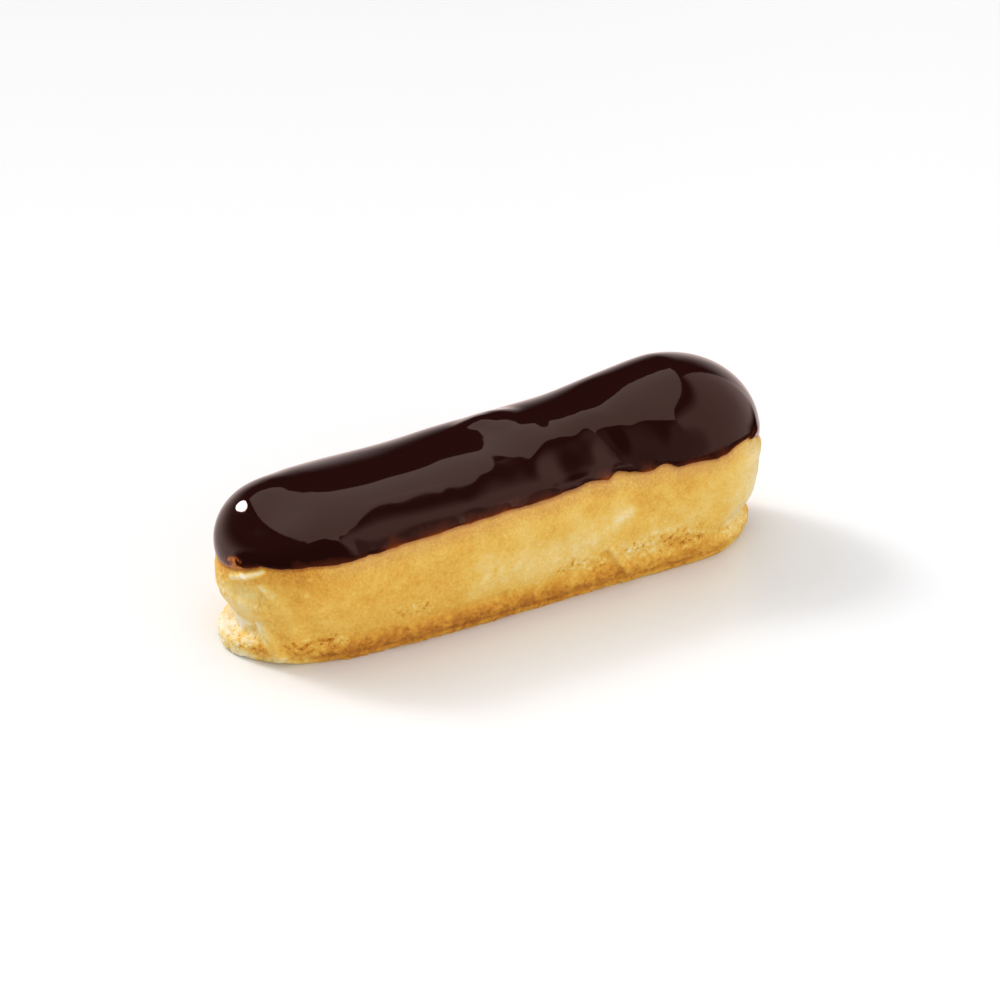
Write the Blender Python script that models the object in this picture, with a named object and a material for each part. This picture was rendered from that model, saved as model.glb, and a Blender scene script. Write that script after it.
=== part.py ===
"""Chocolate eclair: a baked choux shell with a set chocolate icing over its crown.

Metres, +Z up. The eclair lies along X with its larger end at +X, and stands on its flat base at Z = 0.
Both solids are rings of points laid round one plan outline, bridged from level to level.
"""

import math

import bmesh
import bpy
from mathutils import Vector

# Plan outline: two round ends joined by almost straight sides.
LENGTH = 0.1305
LEFT_END_RADIUS = 0.0226
RIGHT_END_RADIUS = 0.0226
LEFT_CENTRE = -LENGTH / 2 + LEFT_END_RADIUS
RIGHT_CENTRE = LENGTH / 2 - RIGHT_END_RADIUS
# Half widths and heights over the icing, evenly spaced from the left end's centre to the right end's.
HALF_WIDTHS = (0.0194, 0.0200, 0.0202, 0.0200, 0.0196, 0.0196, 0.0195)
CROWN_HEIGHTS = (0.0346, 0.0344, 0.0348, 0.0361, 0.0367, 0.0373, 0.0400, 0.0420)

# Wall of the crust, from the base to its equator. The insets are in tenths of a millimetre: how far it
# stands in from the outline at each height, for the long sides and for the middle of each end.
TENTH_MM = 0.0001
WALL_HEIGHTS = [TENTH_MM * h for h in (0, 12, 28, 42, 54, 66, 78, 92, 110, 135, 170, 200, 230)]
EQUATOR_HEIGHT = WALL_HEIGHTS[-1]
INSETS_LONG_SIDE = (39, 24, 14, 12, 14, 16, 15, 12, 10, 9, 9, 9, 9)
INSETS_LEFT_END = (20, -2, -2, 10, 26, 38, 38, 27, 11, 1, 0, 5, 11)
INSETS_RIGHT_END = (70, 39, 25, 29, 40, 52, 49, 31, 11, 5, 2, -5, 8)

# The crust swells unevenly in the oven: slow waves, as amplitude, wavelength along X, wavelength up, phase.
SWELLS = ((0.00028, 0.047, 0.060, 0.4), (0.00020, 0.026, 0.034, 2.1), (0.00014, 0.015, 0.021, 4.0))
SWELL_START = 0.006
FRONT_TO_BACK_SHIFT = 0.3

# Icing over the crust. Its inner face stays clear of the crust, so that the two solids never overlap.
ICING_EDGE = 0.0009
ICING_CROWN = 0.0020
ICING_GAP = 0.0003
ICING_LIP = 0.0004
LIP_SHARE = 0.12

# Height of the icing's edge in tenths of a millimetre, evenly spaced from the left tip to the right tip.
EDGE_HEIGHTS_FRONT = (205, 245, 246, 252, 258, 265, 269, 272, 276, 272, 264, 259, 267, 218)
EDGE_HEIGHTS_BACK = (205, 240, 252, 256, 250, 258, 266, 262, 258, 266, 272, 264, 258, 218)
# Where the edge runs lower, or stands higher where the drop is negative: place along X, drop and reach.
RUNS_FRONT = ((-0.0622, -0.0020, 0.0026), (0.0203, -0.0009, 0.0015), (0.0308, -0.0011, 0.0016))
RUNS_BACK = ((-0.036, 0.0010, 0.004), (-0.012, 0.0006, 0.003), (0.009, 0.0012, 0.004), (0.031, 0.0007, 0.003))

COLUMNS_PER_SIDE = 38
COLUMNS_PER_END = 22
DOME_LEVELS = 7
ICING_LEVELS = 9
ICING_LEVEL_CROWDING = 1.4
MERGE_DISTANCE = 0.000001
SHARP_ANGLE = math.radians(60)

CRUST_COLOUR = (0.70, 0.43, 0.12, 1.0)
CRUST_ROUGHNESS = 0.75
ICING_COLOUR = (0.020, 0.005, 0.004, 1.0)
ICING_ROUGHNESS = 0.12


def smooth_through(values, share):
    """Value at share 0..1 on a Catmull-Rom curve through evenly spaced values."""
    place = min(max(share, 0.0), 1.0) * (len(values) - 1)
    i = min(int(place), len(values) - 2)
    t = place - i
    p0, p1, p2, p3 = (values[min(max(i + k, 0), len(values) - 1)] for k in (-1, 0, 1, 2))
    bend = 2 * p0 - 5 * p1 + 4 * p2 - p3
    return 0.5 * (2 * p1 + (p2 - p0) * t + bend * t * t + (3 * p1 - p0 - 3 * p2 + p3) * t**3)


def spine_share(spine_x):
    return (spine_x - LEFT_CENTRE) / (RIGHT_CENTRE - LEFT_CENTRE)


def icing_edge_height(x, facing_y):
    """Height of the icing's edge at a place along X, on the side that facing_y points to."""
    front = smooth_through(EDGE_HEIGHTS_FRONT, 0.5 + x / LENGTH)
    back = smooth_through(EDGE_HEIGHTS_BACK, 0.5 + x / LENGTH)
    height = TENTH_MM * (front + (back - front) * (0.5 + 0.5 * facing_y))
    for place, drop, run_reach in RUNS_BACK if facing_y > 0 else RUNS_FRONT:
        height -= drop * math.exp(-(((x - place) / run_reach) ** 2))
    return height


def wall_insets(facing):
    """Insets of the wall at each of its heights, from the long side's to those of the end it faces."""
    end = INSETS_LEFT_END if facing.x < 0 else INSETS_RIGHT_END
    blend = facing.x**2
    return [TENTH_MM * (side + (tip - side) * blend) for side, tip in zip(INSETS_LONG_SIDE, end)]


class Column:
    """One upright line of the surface: its point on the spine, the way it faces and how far it reaches."""

    def __init__(self, spine_x, facing, reach):
        self.spine_x = spine_x
        self.facing = facing
        self.reach = reach
        self.crown = smooth_through(CROWN_HEIGHTS, spine_share(spine_x))
        self.insets = wall_insets(facing)
        self.edge_height = icing_edge_height(self.outline_x(), facing.y)

    def outline_x(self):
        return self.spine_x + self.facing.x * self.reach


def half_width(spine_x):
    return smooth_through(HALF_WIDTHS, spine_share(spine_x))


def round_end(centre_x, end_radius, first_angle):
    """Columns of one end, a half ellipse in plan, anticlockwise from first_angle."""
    columns = []
    for step in range(COLUMNS_PER_END):
        angle = first_angle + math.pi * step / COLUMNS_PER_END
        wide = Vector((end_radius * math.cos(angle), half_width(centre_x) * math.sin(angle), 0))
        columns.append(Column(centre_x, wide.normalized(), wide.length))
    return columns


def long_side(from_x, to_x, facing_y):
    columns = []
    for step in range(COLUMNS_PER_SIDE):
        x = from_x + (to_x - from_x) * step / COLUMNS_PER_SIDE
        columns.append(Column(x, Vector((0, facing_y, 0)), half_width(x)))
    return columns


def plan_columns():
    """All columns, anticlockwise as seen from above, from the left end of the front side."""
    return (
        long_side(LEFT_CENTRE, RIGHT_CENTRE, -1)
        + round_end(RIGHT_CENTRE, RIGHT_END_RADIUS, -math.pi / 2)
        + long_side(RIGHT_CENTRE, LEFT_CENTRE, 1)
        + round_end(LEFT_CENTRE, LEFT_END_RADIUS, math.pi / 2)
    )


def swell(column, height):
    """Outward unevenness, which dies away at the base."""
    total = 0.0
    for amplitude, along, up, phase in SWELLS:
        around = column.outline_x() / along + FRONT_TO_BACK_SHIFT * column.facing.y
        total += amplitude * math.sin(math.tau * around + phase) * math.cos(math.tau * height / up + phase)
    return total * min(1.0, height / SWELL_START)


def wall_inset(column, height):
    """How far the crust's wall stands in from the outline, between the heights it is given at."""
    level = max(k for k in range(len(WALL_HEIGHTS) - 1) if WALL_HEIGHTS[k] <= height)
    share = (height - WALL_HEIGHTS[level]) / (WALL_HEIGHTS[level + 1] - WALL_HEIGHTS[level])
    return column.insets[level] + (column.insets[level + 1] - column.insets[level]) * share


def wall_point(column, height, outward=0.0):
    """Point on the crust's wall below the equator, moved outward from it."""
    reach = column.reach - wall_inset(column, height) + swell(column, height) + outward
    return Vector((column.spine_x, 0, height)) + column.facing * reach


def dome_rise(column):
    """Height of the crust's crown over its equator."""
    return column.crown - ICING_CROWN - EQUATOR_HEIGHT


def dome_point(column, turn, outward=0.0):
    """Point on the crust's dome, at turn 0 on the equator to pi / 2 on the crown, moved outward."""
    reach = column.reach - column.insets[-1] + swell(column, EQUATOR_HEIGHT) + outward
    height = EQUATOR_HEIGHT + (dome_rise(column) + outward) * math.sin(turn)
    return Vector((column.spine_x, 0, height)) + column.facing * (reach * math.cos(turn))


def iced_point(column, share, thickness):
    """Point over the crust from the icing's edge (share 0) to the crown (share 1), thickness above it."""
    rise = dome_rise(column)
    first = math.asin((column.edge_height - EQUATOR_HEIGHT) / rise)
    turn = first + (math.pi / 2 - first) * share
    if turn >= 0:
        return dome_point(column, turn, thickness)
    return wall_point(column, EQUATOR_HEIGHT + rise * math.sin(turn), thickness)


def icing_thickness(share):
    """Full over most of the dome, thinning to a rounded lip at the edge."""
    body = ICING_EDGE + (ICING_CROWN - ICING_EDGE) * math.sin(share * math.pi / 2)
    thinnest = ICING_GAP + ICING_LIP
    return thinnest + (body - thinnest) * math.sin(min(1.0, share / LIP_SHARE) * math.pi / 2)


def skin_rings(bm, rings):
    """Faces between each ring and the next, in a bmesh, closing each ring on itself."""
    rows = [[bm.verts.new(point) for point in ring] for ring in rings]
    for lower, upper in zip(rows, rows[1:]):
        for i in range(len(lower)):
            j = (i + 1) % len(lower)
            bm.faces.new((lower[i], lower[j], upper[j], upper[i]))
    return rows


def finish_object(bm, name, colour, roughness):
    """One named object from a bmesh, its doubled points merged, shaded smooth, with its material."""
    bmesh.ops.remove_doubles(bm, verts=bm.verts, dist=MERGE_DISTANCE)
    bmesh.ops.recalc_face_normals(bm, faces=bm.faces)
    mesh = bpy.data.meshes.new(name)
    bm.to_mesh(mesh)
    bm.free()
    mesh.shade_smooth()
    mesh.set_sharp_from_angle(angle=SHARP_ANGLE)
    material = bpy.data.materials.new(name)
    material.use_nodes = True
    shader = material.node_tree.nodes["Principled BSDF"]
    shader.inputs["Base Color"].default_value = colour
    shader.inputs["Roughness"].default_value = roughness
    shader.inputs["Metallic"].default_value = 0.0
    mesh.materials.append(material)
    obj = bpy.data.objects.new(name, mesh)
    bpy.context.scene.collection.objects.link(obj)
    return obj


def build_shell(columns):
    """The crust: a flat base, a tucked-in foot, a waist above it, and a domed top under the icing."""
    rings = [[wall_point(c, height) for c in columns] for height in WALL_HEIGHTS[:-1]]
    for level in range(DOME_LEVELS + 1):
        turn = math.pi / 2 * level / DOME_LEVELS
        rings.append([dome_point(c, turn) for c in columns])
    bm = bmesh.new()
    rows = skin_rings(bm, rings)
    bm.faces.new(list(reversed(rows[0])))
    return finish_object(bm, "choux_shell", CRUST_COLOUR, CRUST_ROUGHNESS)


def build_icing(columns):
    """The icing: an outer skin and an inner one that joins it at a thin rounded lip."""
    steps = [math.sin(math.pi / 2 * k / ICING_LEVELS) for k in range(ICING_LEVELS + 1)]
    shares = [step**ICING_LEVEL_CROWDING for step in steps]
    inner = [[iced_point(c, s, ICING_GAP) for c in columns] for s in reversed(shares)]
    outer = [[iced_point(c, s, icing_thickness(s)) for c in columns] for s in shares]
    bm = bmesh.new()
    skin_rings(bm, inner + outer)
    return finish_object(bm, "chocolate_icing", ICING_COLOUR, ICING_ROUGHNESS)


def centre_on_origin(objects):
    """Moves the meshes so that the origin is at the middle of the base."""
    points = [v.co for obj in objects for v in obj.data.vertices]
    low = Vector([min(p[i] for p in points) for i in range(3)])
    high = Vector([max(p[i] for p in points) for i in range(3)])
    shift = Vector((-(low.x + high.x) / 2, -(low.y + high.y) / 2, -low.z))
    for obj in objects:
        for vertex in obj.data.vertices:
            vertex.co += shift


for old in list(bpy.data.objects):
    bpy.data.objects.remove(old)
all_columns = plan_columns()
centre_on_origin([build_shell(all_columns), build_icing(all_columns)])
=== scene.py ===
import math

import bpy
import numpy as np
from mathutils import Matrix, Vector
from mathutils.bvhtree import BVHTree


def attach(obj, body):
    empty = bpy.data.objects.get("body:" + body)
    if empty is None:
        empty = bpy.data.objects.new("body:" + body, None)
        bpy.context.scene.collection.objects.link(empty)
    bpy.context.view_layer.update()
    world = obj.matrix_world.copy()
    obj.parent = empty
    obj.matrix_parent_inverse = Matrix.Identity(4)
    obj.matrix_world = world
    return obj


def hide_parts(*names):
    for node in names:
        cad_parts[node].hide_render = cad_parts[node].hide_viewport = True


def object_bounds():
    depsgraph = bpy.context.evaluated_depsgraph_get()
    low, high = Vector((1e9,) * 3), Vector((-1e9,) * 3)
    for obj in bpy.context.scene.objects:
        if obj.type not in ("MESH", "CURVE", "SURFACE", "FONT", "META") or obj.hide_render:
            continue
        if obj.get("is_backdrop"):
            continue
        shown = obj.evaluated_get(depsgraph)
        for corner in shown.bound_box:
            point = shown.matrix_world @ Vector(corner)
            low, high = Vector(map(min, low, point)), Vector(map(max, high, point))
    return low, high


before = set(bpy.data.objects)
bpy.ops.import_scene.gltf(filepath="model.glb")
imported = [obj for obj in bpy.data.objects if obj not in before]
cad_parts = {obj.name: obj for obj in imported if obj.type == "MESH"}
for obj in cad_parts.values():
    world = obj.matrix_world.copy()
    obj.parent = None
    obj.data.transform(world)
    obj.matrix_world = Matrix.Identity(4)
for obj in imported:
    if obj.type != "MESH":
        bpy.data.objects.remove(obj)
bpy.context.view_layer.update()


# ---------------------------------------------------------------------------------------------
# Baked choux crust. A piped log of choux paste that has puffed up in the oven: thin golden skin,
# a darker crumbly foot where it sat on the tray, and a waist pinched in just above that foot.
# ---------------------------------------------------------------------------------------------
MM = 0.001
# The skin is meshed on this grid, and this share of its faces is kept in the end.
CRUST_GRID = 0.30 * MM
CRUST_KEPT = 0.68
# It is hidden above this height, by the icing, and below this one, by the table, so it is coarse there.
HIDDEN_ABOVE = 28.5 * MM
HIDDEN_BELOW = 0.15 * MM
HIDDEN_KEPT = 0.10
# The bun's long axis is level, and runs between the middles of its two round ends.
AXIS_END = 42.65 * MM
AXIS_HEIGHT = 10 * MM


def only(piece):
    """Selects one piece alone and makes it the active one."""
    bpy.ops.object.select_all(action="DESELECT")
    piece.select_set(True)
    bpy.context.view_layer.objects.active = piece


def copy_of_solid(solid, name):
    """A new piece with its own merged copy of a solid's mesh."""
    piece = bpy.data.objects.new(name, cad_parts[solid].data.copy())
    piece.data.name = name
    piece.data.materials.clear()
    bpy.context.scene.collection.objects.link(piece)
    only(piece)
    bpy.ops.object.mode_set(mode="EDIT")
    bpy.ops.mesh.select_all(action="SELECT")
    bpy.ops.mesh.remove_doubles(threshold=0.002 * MM)
    bpy.ops.object.mode_set(mode="OBJECT")
    return piece


def apply(piece, kind, **settings):
    """Adds one modifier to a piece and applies it."""
    only(piece)
    modifier = piece.modifiers.new(kind.title(), kind)
    for key, value in settings.items():
        setattr(modifier, key, value)
    bpy.ops.object.modifier_apply(modifier=modifier.name)


def select_faces(piece, chosen):
    """Goes into edit mode with just the faces selected that the test picks."""
    only(piece)
    bpy.ops.object.mode_set(mode="EDIT")
    bpy.ops.mesh.select_mode(type="FACE")
    bpy.ops.mesh.select_all(action="DESELECT")
    bpy.ops.object.mode_set(mode="OBJECT")
    for polygon in piece.data.polygons:
        polygon.select = bool(chosen(polygon))
    bpy.ops.object.mode_set(mode="EDIT")


def points_of(piece):
    """Every point of a piece's mesh, in rows."""
    places = np.empty(3 * len(piece.data.vertices))
    piece.data.vertices.foreach_get("co", places)
    return places.reshape(-1, 3)


def put_points(piece, places):
    """Moves every point of a piece's mesh to its row's place."""
    piece.data.vertices.foreach_set("co", places.ravel())
    piece.data.update()


def nearness(places, line, reach):
    """1 on a line of points given in millimetres, falling smoothly to 0 at its reach."""
    corners = np.array(line, dtype=float) * MM
    nearest = np.linalg.norm(places - corners[0], axis=1)
    for start, end in zip(corners, corners[1:]):
        side = end - start
        along = np.clip(((places - start) @ side) / (side @ side), 0, 1)
        away = np.linalg.norm(places - start - along[:, None] * side, axis=1)
        nearest = np.minimum(nearest, away)
    return np.clip(1 - (nearest / (reach * MM)) ** 2, 0, 1) ** 2


def pull(piece, line, by, reach):
    """Moves the skin near a line of points, all in millimetres, fading out to nothing at its reach."""
    places = points_of(piece)
    put_points(piece, places + nearness(places, line, reach)[:, None] * np.array(by) * MM)


def on_axis(x):
    """Where on the bun's long axis the skin at this length belongs."""
    return np.clip(x, -AXIS_END, AXIS_END)


def swell(piece, line, by, reach):
    """Moves the skin near a line away from the bun's long axis, all in millimetres."""
    places = points_of(piece)
    axis = np.zeros_like(places)
    axis[:, 0] = on_axis(places[:, 0])
    axis[:, 2] = AXIS_HEIGHT
    outward = (places - axis) / np.linalg.norm(places - axis, axis=1)[:, None]
    put_points(piece, places + by * MM * nearness(places, line, reach)[:, None] * outward)


crust = copy_of_solid("choux_shell", "baked_choux")
apply(crust, "REMESH", mode="VOXEL", voxel_size=CRUST_GRID)
apply(crust, "SMOOTH", factor=0.5, iterations=5)
select_faces(crust, lambda face: not HIDDEN_BELOW <= face.center.z <= HIDDEN_ABOVE)
bpy.ops.mesh.decimate(ratio=HIDDEN_KEPT)
bpy.ops.object.mode_set(mode="OBJECT")

# How the bun's crown has risen and sunk, and the coat on it with it: along which line, by how
# much and how far to either side.
CROWN = (
    ([(-2.5, -8, 35.2), (0.5, -14, 32.7)], -1.10, 16),
    ([(0, 5, 36), (1.5, 5, 36)], 0.90, 7.5),
    ([(9, -15, 31.9), (18, -13, 33.4)], -0.95, 8),
    ([(23, -16, 31.5), (28.5, -14.5, 34.1)], -0.85, 8),
    ([(-60.5, -3.5, 29.7), (-55.5, -4.5, 32)], -1.55, 11.5),
    ([(-48, -14.5, 30.4), (-48.5, -16, 29.1)], 0.20, 5.5),
    ([(-40, -18, 27.6), (-35.5, -11, 32.4)], 0.60, 20),
    ([(17, -5.5, 36.5), (18, -5.5, 36.6)], 0.50, 6.5),
    ([(25, 0.5, 38.8)], -0.35, 7),
    ([(13, -4.5, 36.5), (11.5, -9, 35.3)], -0.15, 7),
    ([(34.5, -11, 37.8), (46, -11.5, 38.2)], -0.25, 7.5),
    ([(-13, -14, 31.8), (-9.5, -15.5, 31)], -0.15, 7.5),
    ([(-26, -2, 34.4), (-21.5, -3, 34.5)], 0.10, 9),
    ([(-55, 8, 30.4)], 0.66, 9.7),
    ([(-58.4, -0.4, 32)], 0.31, 5.3),
    ([(-10, -8.7, 34.5)], 0.20, 8),
    ([(-4, -8.5, 32.8)], 0.21, 7.3),
    ([(2, -1.8, 35.2)], 0.42, 10),
    ([(11, -14.8, 31.3)], 0.07, 5),
    ([(23.4, -15.8, 31.5)], -0.17, 10),
    ([(16.3, -12.9, 33.8)], -0.12, 6),
    ([(-5.9, 4.9, 36.2), (-2, 4.2, 36.2)], 0.38, 3.4),
)
for line, by, reach in CROWN:
    swell(crust, line, by, reach)

# At the left end the waist is low and deep at the back, and fills out towards the front, where a
# doughy fold runs down to the base. Above it a ledge stands out under the icing, over a hollow.
LEDGE = [(-65.0, -3.4, 18.6), (-63.8, -6.0, 20.0)], [(-63.2, -7.0, 20.1), (-61.0, -10.4, 22.3)]
FOLD = [(-60.4, -8.6, 8), (-59.2, -10.4, 5.7), (-58.6, -12.8, 2.5)]
LEFT_END = (
    ([(-62, -2, 7), (-61.5, 5, 7), (-57, 13, 7)], (0, 0, -2.6), 5),
    ([(-61.5, 5, 4.4), (-57, 12, 4.6)], (0.8, -0.5, 0), 2.4),
    ([(-63, 6, 10), (-58.5, 12, 10)], (-0.5, 0.3, 0), 3),
    ([(-60.0, -9.5, 7), (-56, -14, 7)], (-1.0, -1.5, 0), 4.5),
    (FOLD, (-0.7, -0.8, 0), 2.2),
    (LEDGE[0], (-0.6, -0.5, 0.1), 1.2),
    (LEDGE[1], (-0.5, -0.6, -0.1), 1.0),
    ([(-64.6, -5.2, 16.4), (-62.6, -9, 16)], (0.9, 0.7, 0), 3.4),
)
# Along the front of the foot there is a shallow groove, and a doughy fold with a crease beside it.
FRONT = (
    ([(-47, -17.6, 4), (-24, -19, 5.4), (-8, -19, 5), (5, -18.6, 4)], (0, 0.4, 0), 2.8),
    ([(17.9, -18.8, 10.2), (19.6, -18.8, 7.5), (23.2, -18.8, 2.5)], (0, -0.6, 0), 1.4),
    ([(16.2, -18.8, 9.5), (18.0, -18.8, 6.5), (20.8, -18.8, 2.5)], (0, 0.5, 0), 1.5),
)
for line, by, reach in LEFT_END + FRONT:
    pull(crust, line, by, reach)


def fade(value, start, end):
    """0 at start, 1 at end, smooth between."""
    t = np.clip((value - start) / (end - start), 0.0, 1.0)
    return t * t * (3 - 2 * t)


def weigh(piece, name, weights):
    """A vertex group that holds every point whose weight is over 0."""
    group = piece.vertex_groups.new(name=name)
    for index in np.flatnonzero(weights > 0):
        group.add([int(index)], float(weights[index]), "REPLACE")


def cloud(name, size, depth):
    """A soft noise texture with lumps of a size in millimetres."""
    texture = bpy.data.textures.new(name, type="CLOUDS")
    texture.noise_scale = size * MM
    texture.noise_depth = depth
    return texture


def roughen(piece, texture, rise, where):
    """Lets a texture raise and sink the skin within a vertex group, by millimetres in all."""
    apply(
        piece,
        "DISPLACE",
        texture=texture,
        texture_coords="LOCAL",
        strength=rise * MM,
        mid_level=0.5,
        vertex_group=where,
    )


places = points_of(crust)
length, height = places[:, 0], places[:, 2]
weigh(crust, "visible", 1 - fade(height, 28 * MM, 30 * MM))
weigh(crust, "wall", fade(height, 1 * MM, 5 * MM) * (1 - fade(height, 27 * MM, 30 * MM)))
# The foot's upper edge wanders up and down, and the rim that lay on the tray is less rough.
wander = 1.5 * MM * np.sin(length / (5 * MM))
foot = 1 - fade(height + wander, 3.0 * MM, 7.5 * MM)
weigh(crust, "foot", foot * (0.65 + 0.35 * fade(height, 0.2 * MM, 2.2 * MM)))
weigh(crust, "broken", nearness(places, [(-65, -2, 20), (-61, -9, 17), (-60, -9, 9), (-62, -8, 4)], 6))

# The size of the lumps, their detail, how far they stand from crest to hollow, and where.
LUMPS = (
    ("broken end", 1.7, 3, 0.75, "broken"),
    ("oven bulges", 9, 1, 0.80, "wall"),
    ("skin folds", 3.2, 2, 0.40, "wall"),
    ("foot lumps", 3.0, 2, 0.65, "foot"),
    ("foot crumb", 1.3, 3, 0.65, "foot"),
    ("skin grain", 0.6, 1, 0.20, "visible"),
)
for name, size, depth, rise, where in LUMPS:
    roughen(crust, cloud(name, size, depth), rise, where)

# Bubbles that burst in the oven have left round pores in the foot.
PORE_SPACING = 1.7 * MM
PORE_DEPTH = 0.55
pores = bpy.data.textures.new("pores", type="VORONOI")
pores.noise_scale = PORE_SPACING
pores.use_color_ramp = True
bottom, brim = pores.color_ramp.elements
bottom.position, bottom.color = 0.08, (0, 0, 0, 1)
brim.position, brim.color = 0.26, (0.5, 0.5, 0.5, 1)
roughen(crust, pores, PORE_DEPTH, "foot")


def surface_of(piece):
    """A piece's surface, to find the nearest place on it or where a ray meets it."""
    mesh = piece.data
    return BVHTree.FromPolygons([v.co for v in mesh.vertices], [p.vertices for p in mesh.polygons])


# One curved crack has split the skin at the left of the front. The mesh is finer beside it.
CRACK_WIDTH = 0.45
CRACK_DEPTH = (0.25, 0.55, 0)
FINE_MESH = 0.8
CRACK = [
    (-55.9, -13.7, 5.6),
    (-55.2, -14.6, 4.6),
    (-54.3, -15, 4.7),
    (-53.2, -15.4, 5.5),
    (-51.5, -16, 6.1),
    (-48.6, -17.2, 5.9),
]
surface = surface_of(crust)
crack = [tuple(surface.find_nearest(Vector(corner) * MM)[0] / MM) for corner in CRACK]
beside_crack = nearness(points_of(crust), crack, FINE_MESH)
select_faces(crust, lambda face: max(beside_crack[i] for i in face.vertices) > 0)
bpy.ops.mesh.subdivide(number_cuts=3)
bpy.ops.object.mode_set(mode="OBJECT")
pull(crust, crack, CRACK_DEPTH, CRACK_WIDTH)

# The base has set flat on the tray, so the rounding under its rim is pressed out square and spreads.
# The middle of the underside stays as it is.
RIM_HEIGHT = 1.5 * MM
UNDER_RIM = 3.0 * MM
PRESSED_OUT = 0.9
SPREAD = 0.35 * MM
SUNK = 0.4 * MM
KEPT_MIDDLE = 8 * MM
pull(crust, [(-63, -8, 0), (-61, -10, 0), (-56, -14.5, 0), (-49, -17, 0)], (0.6, 1.0, 0), 5)
places = points_of(crust)
surface = surface_of(crust)
off_middle = np.abs(places[:, 1]) + np.abs(places[:, 0]) / 6 > KEPT_MIDDLE
for index in np.flatnonzero((places[:, 2] < RIM_HEIGHT) & off_middle):
    x, y, z = places[index]
    middle = Vector((on_axis(x), 0, RIM_HEIGHT))
    outward = Vector((x, y, RIM_HEIGHT)) - middle
    distance = outward.length
    outward.normalize()
    rim = surface.ray_cast(middle + outward * 100 * MM, -outward)[0]
    inset = max((rim - middle).length - distance, 0)
    if inset < UNDER_RIM:
        low = 1 - z / RIM_HEIGHT
        push = (1 - inset / UNDER_RIM) * (PRESSED_OUT * inset + SPREAD * low)
        places[index] += np.array(outward) * push
        places[index, 2] = max(z - SUNK * low, 0)
put_points(crust, places)
apply(crust, "DECIMATE", ratio=CRUST_KEPT)
places = points_of(crust)
places[:, 2] = np.maximum(places[:, 2], 0)
put_points(crust, places)

# How dark the crust is: 0 is pale cream, 0.5 gold, 1 dark brown. Mostly how hard it has baked, but a
# few spots below carry painted highlight and painted light, as marked. First by height.
BAKED_UP_THE_WALL = (
    (0, 0.52),
    (0.8, 0.66),
    (2, 0.74),
    (3.5, 0.69),
    (5, 0.59),
    (7, 0.49),
    (11, 0.43),
    (18, 0.46),
    (28, 0.46),
)
# Then spot by spot: where, how far to either side, and how much more.
TORN_BAND = [
    (-47, -17.6, 1.6),
    (-37, -18.4, 2.2),
    (-24, -19, 3),
    (-17, -19, 3),
    (-8, -19, 2.4),
    (5, -18.6, 1.6),
]
BAKED_AND_PAINTED_LIGHT = (
    (TORN_BAND, 5.0, 0.16),
    ([(11, -18, 4.5), (20, -18.4, 4.5)], 2.4, 0.10),
    ([(31.5, -18.3, 8.6), (36, -17.8, 7.2)], 2.2, 0.16),
    ([(-51, -17, 6.8), (-49, -17.3, 6.5)], 1.3, 0.16),
    ([(22.6, -18.5, 9), (32, -18.2, 6.4)], 3.2, -0.06),
    ([(28.6, -18.7, 11.4), (34.4, -18.5, 11)], 1.2, -0.13),
    ([(-14, -19.3, 13.0), (0, -19.3, 11.5)], 7.5, -0.11),
    ([(6, -19, 12.5), (20, -18.6, 18)], 6.5, -0.13),
    ([(14, -18, 23), (36, -18, 21)], 5.0, 0.06),
    ([(19.2, -18.8, 17.0), (22.6, -18.8, 18.6)], 2.2, -0.15),
    ([(-15.5, -19.4, 12.7)], 2.4, 0.16),
    ([(-11.4, -19.4, 12.4), (-10.9, -19.4, 14)], 1.0, 0.12),
    ([(-54, -15.5, 15), (-22, -19, 15)], 12.0, 0.08),
    ([(-59, -12, 21.5), (-50, -17, 19.5)], 6.5, 0.12),
    ([(-53.2, -17, 21.4)], 0.9, -0.24),
    ([(-53.8, -16.8, 17.8)], 1.0, -0.24),
    # Round the left end most spots are paler: partly the skin's own pale crumb, partly painted
    # highlight where the key light glares on this end.
    ([(-61.6, -10.2, 18.4), (-60, -12.2, 17.3)], 1.6, -0.26),
    ([(-64.6, -5.2, 16.8), (-62.6, -9, 15.6)], 3.4, -0.16),
    ([(-65.4, -1, 14), (-63.4, -6, 13)], 4.5, -0.14),
    # The ledge under the icing is painted near white: a painted highlight along its crest.
    (LEDGE[0], 1.9, -0.36),
    (LEDGE[1], 1.5, -0.38),
    ([(-64.4, -4, 20.8), (-61.5, -9.6, 23.2)], 1.4, -0.04),
    ([(-61.9, -9.6, 19.4)], 1.3, 0.16),
    ([(-65, 2, 9), (-62.5, -7, 9)], 5.0, -0.10),
    ([(-63, 2, 7), (-60, -8, 7)], 4.5, -0.08),
    ([(-58, 12, 3.5), (-61.5, 7, 3.8), (-62.2, 1, 6)], 4.5, -0.50),
    ([(-65, 4, 4), (-64, -5, 4)], 6.0, -0.44),
    ([(-65, 3, 6.5), (-63.5, -4, 6.5)], 3.0, -0.22),
    # Along the left rim of the foot it is paler: partly pale crumbs, partly painted light that lifts
    # the shaded rim.
    ([(-64.6, -4, 0.6), (-60, -11.4, 0.6), (-54, -15.5, 0.6)], 3.2, -0.34),
    ([(-63.4, 8, 1), (-65.2, 0, 1.4)], 3.0, -0.25),
    (FOLD, 2.8, -0.36),
    ([(-60.2, -10, 5.2), (-58.6, -12, 3.4)], 1.9, -0.24),
    ([(-62.5, -8.5, 3.2), (-64.5, -5, 2.6)], 2.0, 0.10),
    ([(55, -14, 6), (58, -12, 24)], 14.0, -0.26),
    (crack, CRACK_WIDTH, 0.62),
)
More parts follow.
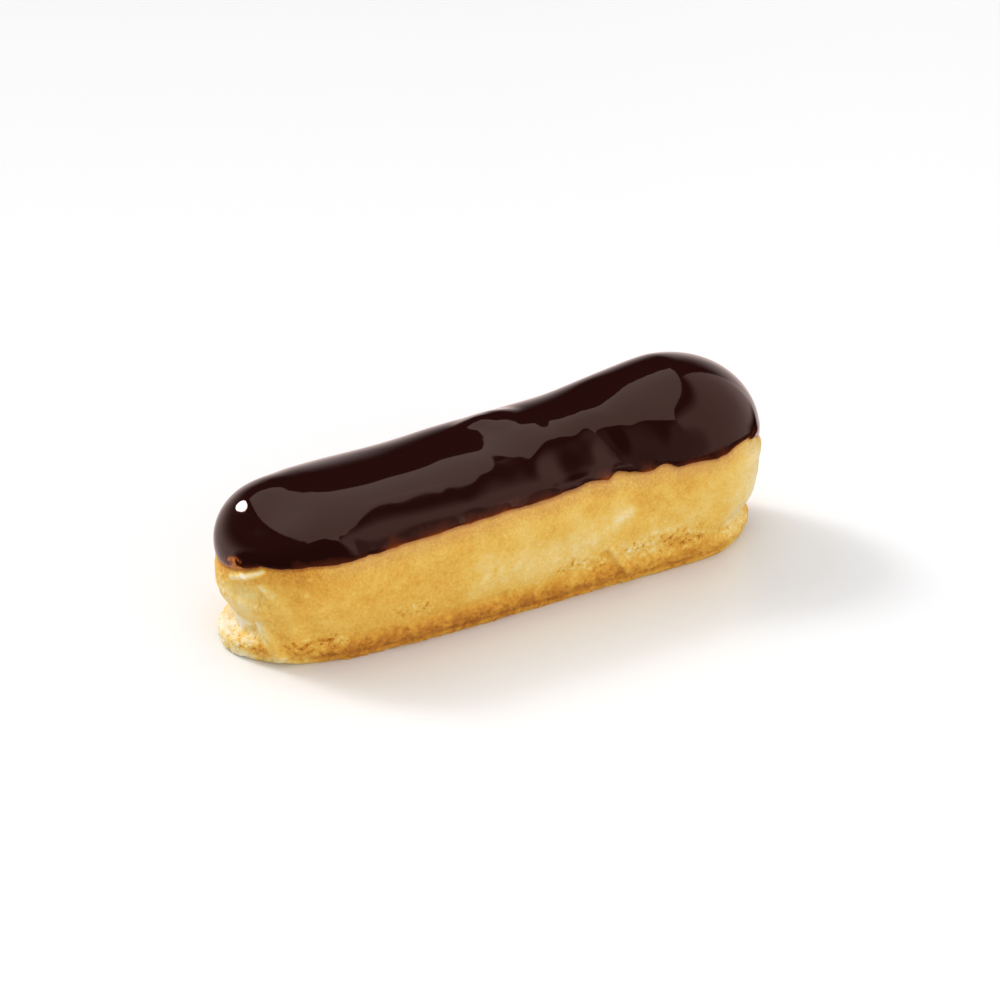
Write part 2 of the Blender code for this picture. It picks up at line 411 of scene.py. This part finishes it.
# Where the crumb is full of pinholes.
POROUS_FOOT = 0.45
POROUS_UP_TO = 6 * MM
POROUS = (
    ([(6, -18.5, 9), (15, -18.5, 7.5)], 3.0, 0.9),
    ([(22.6, -18.5, 9), (31, -18.2, 8), (40, -18, 8)], 4.0, 1.0),
    ([(45, -17, 6), (56, -12, 6)], 4.0, 0.6),
    ([(-65, 0, 4), (-64, -5.6, 4.3), (-61, -8, 5.4)], 4.0, 0.8),
    ([(-56, -14, 5), (-46, -17, 5)], 3.5, 0.7),
    ([(-34, -18.9, 9.5), (-27, -19, 9)], 2.4, 0.9),
    ([(-65.4, 0.4, 17), (-65.4, 0.6, 14)], 3.4, 0.8),
)
# Where the foot has torn off the tray, and left clods of crumb.
TORN = (
    (TORN_BAND, 5, 1.0),
    ([(8, -18, 3), (36, -18, 4), (54, -13, 3)], 4, 0.6),
    ([(-65, 2, 4), (-64, -6, 3), (-60, -11, 2)], 4, 0.5),
)


def spots(places, table):
    """What a table's spots come to at each point."""
    return sum(amount * nearness(places, line, reach) for line, reach, amount in table)


def relief(piece, rounds, full):
    """How far each point stands out of the skin round it: 1 is full millimetres proud, -1 as deep."""
    only(piece)
    bpy.ops.object.duplicate()
    softened = bpy.context.active_object
    apply(softened, "SMOOTH", factor=0.6, iterations=rounds)
    offset = points_of(piece) - points_of(softened)
    normals = np.empty(3 * len(softened.data.vertices))
    softened.data.vertices.foreach_get("normal", normals)
    bpy.data.objects.remove(softened)
    return np.clip((offset * normals.reshape(-1, 3)).sum(1) / (full * MM), -1, 1)


def keep_on_points(piece, name, values):
    """A number on each point of the mesh, for the material to read."""
    attribute = piece.data.attributes.new(name, "FLOAT", "POINT")
    attribute.data.foreach_set("value", values.astype(np.float32))


length, height = places[:, 0], places[:, 2]
# The baked number also holds the painted highlight and painted light of the marked spots.
baked = np.interp(height / MM, *zip(*BAKED_UP_THE_WALL)) + spots(places, BAKED_AND_PAINTED_LIGHT)
porous = POROUS_FOOT * (1 - np.clip(height / POROUS_UP_TO, 0, 1)) + spots(places, POROUS)
keep_on_points(crust, "baked", baked)
keep_on_points(crust, "porous", np.clip(porous, 0, 1))
keep_on_points(crust, "torn", np.clip(spots(places, TORN), 0, 1))
keep_on_points(crust, "relief", relief(crust, rounds=8, full=0.12))
# The dust under the icing starts a little way in from the left end, and thickens over 8 mm.
DUST_STARTS = -52
DUST_THICKENS = 8
keep_on_points(crust, "dusty", np.clip((length / MM - DUST_STARTS) / DUST_THICKENS, 0, 1))

CRUST_COLOURS = (
    (0.00, (0.96, 0.87, 0.68)),
    (0.12, (0.93, 0.78, 0.48)),
    (0.27, (0.905, 0.665, 0.230)),
    (0.45, (0.870, 0.535, 0.093)),
    (0.62, (0.775, 0.378, 0.040)),
    (0.80, (0.62, 0.245, 0.020)),
    (1.00, (0.44, 0.148, 0.012)),
)
DUST = (0.60, 0.37, 0.17, 1)


def node(tree, kind, *inputs, **settings):
    """Adds a node to a tree. Each input is a value, or the output socket that feeds it."""
    made = tree.nodes.new(kind)
    for key, value in settings.items():
        setattr(made, key, value)
    for socket, value in zip(made.inputs, inputs):
        if isinstance(value, bpy.types.NodeSocket):
            tree.links.new(value, socket)
        elif value is not None:
            socket.default_value = value
    return made.outputs[0]


def maths(tree, operation, *inputs):
    """One sum on numbers or sockets."""
    return node(tree, "ShaderNodeMath", *inputs, operation=operation)


def between(tree, value, start, end, low=0.0, high=1.0):
    """Smooth step of a value, from low at start to high at end."""
    steps = (value, start, end, low, high)
    return node(tree, "ShaderNodeMapRange", *steps, interpolation_type="SMOOTHSTEP")


def noise(tree, place, size, detail, rough=0.5):
    """Soft noise from 0 to 1, with blotches of about that many millimetres."""
    return node(tree, "ShaderNodeTexNoise", place, None, 1 / (size * MM), detail, rough)


def blotches(tree, place, size, detail, rough=0.5):
    """The same noise, round zero."""
    return maths(tree, "SUBTRACT", noise(tree, place, size, detail, rough), 0.5)


def point_number(tree, name):
    """Reads a number that is kept on the points."""
    reader = tree.nodes.new("ShaderNodeAttribute")
    reader.attribute_name = name
    return reader.outputs["Fac"]


def ramp(tree, value, stops):
    """Turns a value into a colour, by a list of positions and colours."""
    made = tree.nodes.new("ShaderNodeValToRGB")
    elements = made.color_ramp.elements
    while len(elements) < len(stops):
        elements.new(0.5)
    for element, (position, colour) in zip(elements, stops):
        element.position = position
        element.color = (*colour, 1)
    tree.links.new(value, made.inputs[0])
    return made.outputs[0]


def choux_skin():
    """Golden baked skin with a fine grain, pinholes and crumbs where it is porous, and dust, with
    painted shade in hollows, pinholes and under the icing.
    """
    material = bpy.data.materials.new("baked choux crust")
    material.use_nodes = True
    skin = material.node_tree
    skin.nodes.clear()
    place = skin.nodes.new("ShaderNodeTexCoord").outputs["Object"]
    under_icing = point_number(skin, "under_icing")
    porous = point_number(skin, "porous")

    grain = blotches(skin, place, 0.42, 3, 0.75)
    grainy = maths(skin, "MULTIPLY_ADD", porous, 0.25, 0.42)
    grainy = maths(skin, "MULTIPLY_ADD", under_icing, 0.30, grainy)
    clods = between(skin, noise(skin, place, 2.2, 2), 0.40, 0.62, -0.5, 0.5)
    pits = noise(skin, place, 1.1, 2)
    pinholes = maths(skin, "MULTIPLY", between(skin, pits, 0.56, 0.68), porous)
    crumbs = maths(skin, "MULTIPLY", between(skin, pits, 0.44, 0.34), porous)

    # Each of these makes the skin browner or paler than it has baked; some are painted shade and
    # painted highlight, as marked.
    tone = point_number(skin, "baked")
    for cause, amount in (
        # Darker under the icing: partly the skin's own colour, partly painted shade below the lip.
        (under_icing, 0.14),
        # Darker still where the lip meets the skin: thin icing, and painted shadow.
        (point_number(skin, "stain_and_shade"), 0.42),
        (blotches(skin, place, 7, 2), 0.26),
        (blotches(skin, place, 2.2, 3, 0.6), 0.30),
        (grain, grainy),
        # Hollows painted darker and crests paler: painted shade and painted highlight from the relief.
        (point_number(skin, "relief"), -0.12),
        (maths(skin, "MULTIPLY", clods, point_number(skin, "torn")), 0.10),
        # Pinholes painted darker: painted shade down in them.
        (pinholes, 0.36),
        (crumbs, -0.20),
    ):
        tone = maths(skin, "MULTIPLY_ADD", cause, amount, tone)
    dusty = maths(skin, "MULTIPLY", under_icing, point_number(skin, "dusty"))
    dust_share = maths(skin, "MULTIPLY", dusty, between(skin, grain, -0.25, 0.25, 0.0, 0.65))
    colour = node(skin, "ShaderNodeMixRGB", dust_share, ramp(skin, tone, CRUST_COLOURS), DUST)

    fine = maths(skin, "ADD", grain, blotches(skin, place, 2.5, 2))
    fine = maths(skin, "MULTIPLY_ADD", pinholes, -0.6, fine)
    bump = skin.nodes.new("ShaderNodeBump")
    bump.inputs["Strength"].default_value = 0.7
    bump.inputs["Distance"].default_value = 0.25 * MM
    skin.links.new(fine, bump.inputs["Height"])

    shader = skin.nodes.new("ShaderNodeBsdfPrincipled")
    shader.inputs["Roughness"].default_value = 0.55
    shader.inputs["Specular IOR Level"].default_value = 0.35
    skin.links.new(colour, shader.inputs["Base Color"])
    skin.links.new(bump.outputs[0], shader.inputs["Normal"])
    surface = skin.nodes.new("ShaderNodeOutputMaterial").inputs["Surface"]
    skin.links.new(shader.outputs[0], surface)
    return material


crust.data.materials.append(choux_skin())
crust.data.shade_smooth()
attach(crust, "root")
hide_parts("choux_shell")


# ---------------------------------------------------------------------------------------------
# Chocolate icing. A coat of dark ganache about a millimetre and a half thick, poured over the
# crown and set to a mirror gloss, with a thin, uneven lip where it stopped on the crust.
# ---------------------------------------------------------------------------------------------
ICING_GRID = 0.45 * MM
SUNK_INTO_CRUST = 1.1 * MM


def faces_inward(polygon):
    """Whether a face of the coat looks at the bun's long axis."""
    axis = Vector((on_axis(polygon.center.x), 0, AXIS_HEIGHT))
    return polygon.normal.dot(polygon.center - axis) < 0


glaze = copy_of_solid("chocolate_icing", "chocolate_glaze")
select_faces(glaze, faces_inward)
bpy.ops.transform.shrink_fatten(value=SUNK_INTO_CRUST)
bpy.ops.mesh.select_all(action="SELECT")
bpy.ops.mesh.tris_convert_to_quads()
bpy.ops.object.mode_set(mode="OBJECT")
apply(glaze, "SUBSURF", levels=2, render_levels=2)
for line, by, reach in CROWN:
    swell(glaze, line, by, reach)
apply(glaze, "REMESH", mode="VOXEL", voxel_size=ICING_GRID)

# Where the lip stopped short, or crept further down the crust, along the front: line, rise, reach.
LIP = (
    ([(-61, -10, 23.6), (-57, -14, 23.9)], 0.5, 2.2),
    ([(-45.8, -18, 24.4)], 1.1, 1.8),
    ([(-43.5, -18.4, 24.7), (-41, -18.8, 25)], 0.6, 2.0),
    ([(-20, -19, 26.4)], 0.3, 2.0),
    ([(-17, -19, 26.5), (-11, -18.9, 26.8)], -0.4, 2.2),
    ([(-7, -18.8, 27.3)], 0.8, 1.5),
    ([(-2, -18.4, 26.5)], -0.35, 1.8),
    ([(5, -18.3, 27.5), (13, -17.4, 27.3)], 0.5, 2.5),
    ([(17.6, -17.2, 27.1)], -0.9, 1.6),
    ([(20, -16.9, 27.9), (24, -17.4, 27)], 0.65, 1.8),
    ([(27, -17.9, 26.7)], -0.4, 1.6),
    ([(30, -18.3, 27.5), (33, -18.3, 26.8)], 0.6, 1.6),
    ([(34.7, -18.5, 26)], -0.3, 1.3),
    ([(36.5, -18.7, 26.1), (41, -19.1, 26.2)], 0.4, 2.0),
    ([(49, -18.2, 27), (54, -16, 26.5)], 0.8, 2.4),
    ([(58, -13, 25.2), (63, -6, 24)], 1.0, 2.6),
)
for line, rise, reach in LIP:
    pull(glaze, line, (0, 0, rise), reach)
# A run of icing stands up in a low ridge down to the lip.
swell(glaze, [(-47.5, -17.4, 29.8), (-45.4, -18.6, 27.4), (-44.3, -18.9, 25.4)], 0.5, 1.4)
apply(glaze, "SMOOTH", factor=0.5, iterations=16)


def gaps(piece, other):
    """How far each point of a piece is from another piece."""
    surface = surface_of(other)
    return np.array([surface.find_nearest(vertex.co)[3] for vertex in piece.data.vertices])


# Just under the icing the skin is darker and dusty, partly painted shade from the icing's lip, and
# darkest where the lip meets it, from thin icing and painted shadow.
DULL_FOR = 5 * MM
STAIN_AND_SHADE_FOR = 0.9 * MM
from_icing = gaps(crust, glaze)
keep_on_points(crust, "under_icing", np.clip(1 - (from_icing / DULL_FOR) ** 2, 0, 1) ** 2)
keep_on_points(crust, "stain_and_shade", np.clip(1 - from_icing / STAIN_AND_SHADE_FOR, 0, 1))

# How thick the coat lies on the crust: 1 where no light gets through. At the left tip it is
# broken, and flecks of it are no more than a film.
OPAQUE = 1.5 * MM
BROKEN_TIP = [(-65.2, -2.2, 21.6), (-64.6, -4.4, 22.6), (-63.9, -6.2, 22.0)]
coat = gaps(glaze, crust) / OPAQUE
film = nearness(points_of(glaze), BROKEN_TIP, 2.0)
flecks = cloud("flecks", 1.1, 2)
for index in np.flatnonzero(film):
    film[index] *= fade(flecks.evaluate(glaze.data.vertices[index].co)[3], 0.44, 0.62)
keep_on_points(glaze, "coat", np.clip(coat - 1.1 * film, 0, 1))

# Thin ganache lets light through, red over orange.
GANACHE_COLOURS = (
    (0.00, (0.46, 0.155, 0.022)),
    (0.16, (0.22, 0.048, 0.009)),
    (0.36, (0.070, 0.015, 0.0065)),
    (0.60, (0.0155, 0.0035, 0.0028)),
)


def dark_ganache():
    """Near-black chocolate set to a mirror, with a warm sheen, redder where it lies thin."""
    material = bpy.data.materials.new("dark ganache")
    material.use_nodes = True
    tree = material.node_tree
    shader = tree.nodes["Principled BSDF"]
    shader.inputs["Roughness"].default_value = 0.045
    shader.inputs["IOR"].default_value = 1.5
    shader.inputs["Specular Tint"].default_value = (1.0, 0.72, 0.64, 1)
    colour = ramp(tree, point_number(tree, "coat"), GANACHE_COLOURS)
    tree.links.new(colour, shader.inputs["Base Color"])
    return material


glaze.data.materials.append(dark_ganache())
glaze.data.shade_smooth()
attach(glaze, "root")
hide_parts("chocolate_icing")


# ---------------------------------------------------------------------------------------------
# Studio. A plain white floor, a soft key from behind on the left, an overhead softbox whose
# long band lies along the icing, fill from the front and a pale room.
# ---------------------------------------------------------------------------------------------
FLOOR_SIZE = 8.0
FLOOR_DROP = 0.02 * MM
PAPER = (0.85, 0.862, 0.873, 1)


def white_paper():
    """Plain, slightly cool white paper with a faint sheen."""
    material = bpy.data.materials.new("white paper")
    material.use_nodes = True
    shader = material.node_tree.nodes["Principled BSDF"]
    shader.inputs["Base Color"].default_value = PAPER
    shader.inputs["Roughness"].default_value = 0.3
    shader.inputs["Specular IOR Level"].default_value = 0.5
    return material


bpy.ops.object.select_all(action="DESELECT")
bpy.ops.mesh.primitive_plane_add(size=FLOOR_SIZE, location=(0, 0, 0))
floor = bpy.context.active_object
floor.name = "studio_floor"
floor.location.z = -FLOOR_DROP
floor.data.materials.append(white_paper())
floor.visible_glossy = False
floor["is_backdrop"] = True


def facing(direction):
    """The turn that points a lamp or the camera back from a direction."""
    return Vector(direction).to_track_quat("Z", "Y").to_euler()


def sun(name, direction, strength, angle, mirrored):
    """A lamp that shines evenly from a direction. Its angle, in degrees, makes its shadows soft."""
    light = bpy.data.lights.new(name, "SUN")
    light.energy = strength
    light.angle = math.radians(angle)
    lamp = bpy.data.objects.new(name, light)
    lamp.rotation_euler = facing(direction)
    lamp.visible_glossy = mirrored
    bpy.context.scene.collection.objects.link(lamp)


KEY_DIRECTION = (-0.60, 1.08, 1.00)
FILL_DIRECTION = (0.05, -1.0, 0.10)
# The softbox hangs level, and is turned a little, which slants the ends of the lit band.
BOX_HEIGHT = 1.0
BOX_RADIANCE = 1.0
BOX_TURN = -math.atan2(0.175, 1)

sun("key", KEY_DIRECTION, strength=1.0, angle=12.5, mirrored=True)
sun("diffuser round the key", KEY_DIRECTION, strength=0.90, angle=36, mirrored=False)
softbox = bpy.data.lights.new("overhead softbox", "AREA")
softbox.shape = "RECTANGLE"
softbox.size, softbox.size_y = 0.89 * BOX_HEIGHT, 1.25 * BOX_HEIGHT
softbox.energy = BOX_RADIANCE * math.pi * softbox.size * softbox.size_y
softbox.color = (1.0, 0.89, 0.83)
softbox_object = bpy.data.objects.new("overhead softbox", softbox)
softbox_object.location = (0, 0.2 * BOX_HEIGHT, BOX_HEIGHT)
softbox_object.rotation_euler = (0, 0, BOX_TURN)
bpy.context.scene.collection.objects.link(softbox_object)
sun("front fill", FILL_DIRECTION, strength=1.22, angle=70, mirrored=False)

# What the icing mirrors is darker than the room that lights it: a dim wall on the right, a bright
# one behind, and darkness in between.
RIGHT_WALL = (1, 0.77, 0.72, 1)
RIGHT_WALL_STRENGTH = 1.35
BACK_WALL = (1, 0.82, 0.785, 1)
BACK_WALL_STRENGTH = 1.12
DAYLIGHT = (0.985, 1, 1.015, 1)

world = bpy.data.worlds.new("pale room")
world.use_nodes = True
bpy.context.scene.world = world
room = world.node_tree
room.nodes.clear()

# Directions in the room are in degrees: the azimuth, from the front round by the right, and the
# height over level.
direction = node(room, "ShaderNodeSeparateXYZ", node(room, "ShaderNodeTexCoord"))
right, back, up = direction.node.outputs
azimuth = maths(room, "ARCTAN2", right, maths(room, "MULTIPLY", back, -1.0))
azimuth = maths(room, "MULTIPLY", azimuth, 180 / math.pi)
height = maths(room, "MULTIPLY", maths(room, "ARCSINE", up), 180 / math.pi)

# The right wall is faint towards the front and full further round. It ends just past the side,
# at the floor, and well below overhead.
right_wall = maths(
    room,
    "ADD",
    between(room, azimuth, 0, 14, 0.0, 0.22),
    between(room, azimuth, 29, 36, 0.0, 0.40),
)
for edge in (
    between(room, azimuth, 120, 116),
    between(room, height, -14, -2),
    between(room, height, 65, 53),
):
    right_wall = maths(room, "MULTIPLY", right_wall, edge)
right_wall = maths(room, "MULTIPLY", right_wall, RIGHT_WALL_STRENGTH)

# The back wall glows low down. Straight behind the bun the glow stops lower than to either side.
off_centre = maths(room, "ABSOLUTE", maths(room, "SUBTRACT", azimuth, 156))
left_of_it = between(room, maths(room, "FLOORED_MODULO", azimuth, 360.0), 168, 200, 0.0, 10.0)
lower = maths(room, "ADD", between(room, off_centre, 4, 14, 0.0, 12.0), left_of_it)
back_wall = between(room, maths(room, "SUBTRACT", height, lower), 16, -18, 0.0, BACK_WALL_STRENGTH)
behind = between(room, maths(room, "ABSOLUTE", azimuth), 112, 120)
back_wall = maths(room, "MULTIPLY", back_wall, behind)

mirrored = node(
    room,
    "ShaderNodeAddShader",
    node(room, "ShaderNodeBackground", RIGHT_WALL, right_wall),
    node(room, "ShaderNodeBackground", BACK_WALL, back_wall),
)
# The room is a little brighter to the right.
daylight = maths(room, "MULTIPLY_ADD", right, 0.26, 0.655)
even = node(room, "ShaderNodeBackground", DAYLIGHT, daylight)
glossy_ray = room.nodes.new("ShaderNodeLightPath").outputs["Is Glossy Ray"]
either = node(room, "ShaderNodeMixShader", glossy_ray, even, mirrored)
room.links.new(either, room.nodes.new("ShaderNodeOutputWorld").inputs["Surface"])

bpy.context.scene.view_settings.view_transform = "Standard"

CAMERA_AZIMUTH = math.radians(-29.3055)
CAMERA_ELEVATION = math.radians(28)
CAMERA_DISTANCE = 0.6024188
LOOKS_AT = (0, 0, 18 * MM)

camera = bpy.data.cameras.new("camera")
camera.lens = 100
camera.sensor_width = 36
camera.shift_x = 0.0028
camera.shift_y = 0.00109
camera_object = bpy.data.objects.new("camera", camera)
level = math.cos(CAMERA_ELEVATION)
toward_camera = Vector(
    (math.sin(CAMERA_AZIMUTH) * level, -math.cos(CAMERA_AZIMUTH) * level, math.sin(CAMERA_ELEVATION))
)
camera_object.location = Vector(LOOKS_AT) + toward_camera * CAMERA_DISTANCE
camera_object.rotation_euler = facing(toward_camera)
bpy.context.scene.collection.objects.link(camera_object)
bpy.context.scene.camera = camera_object

low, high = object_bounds()
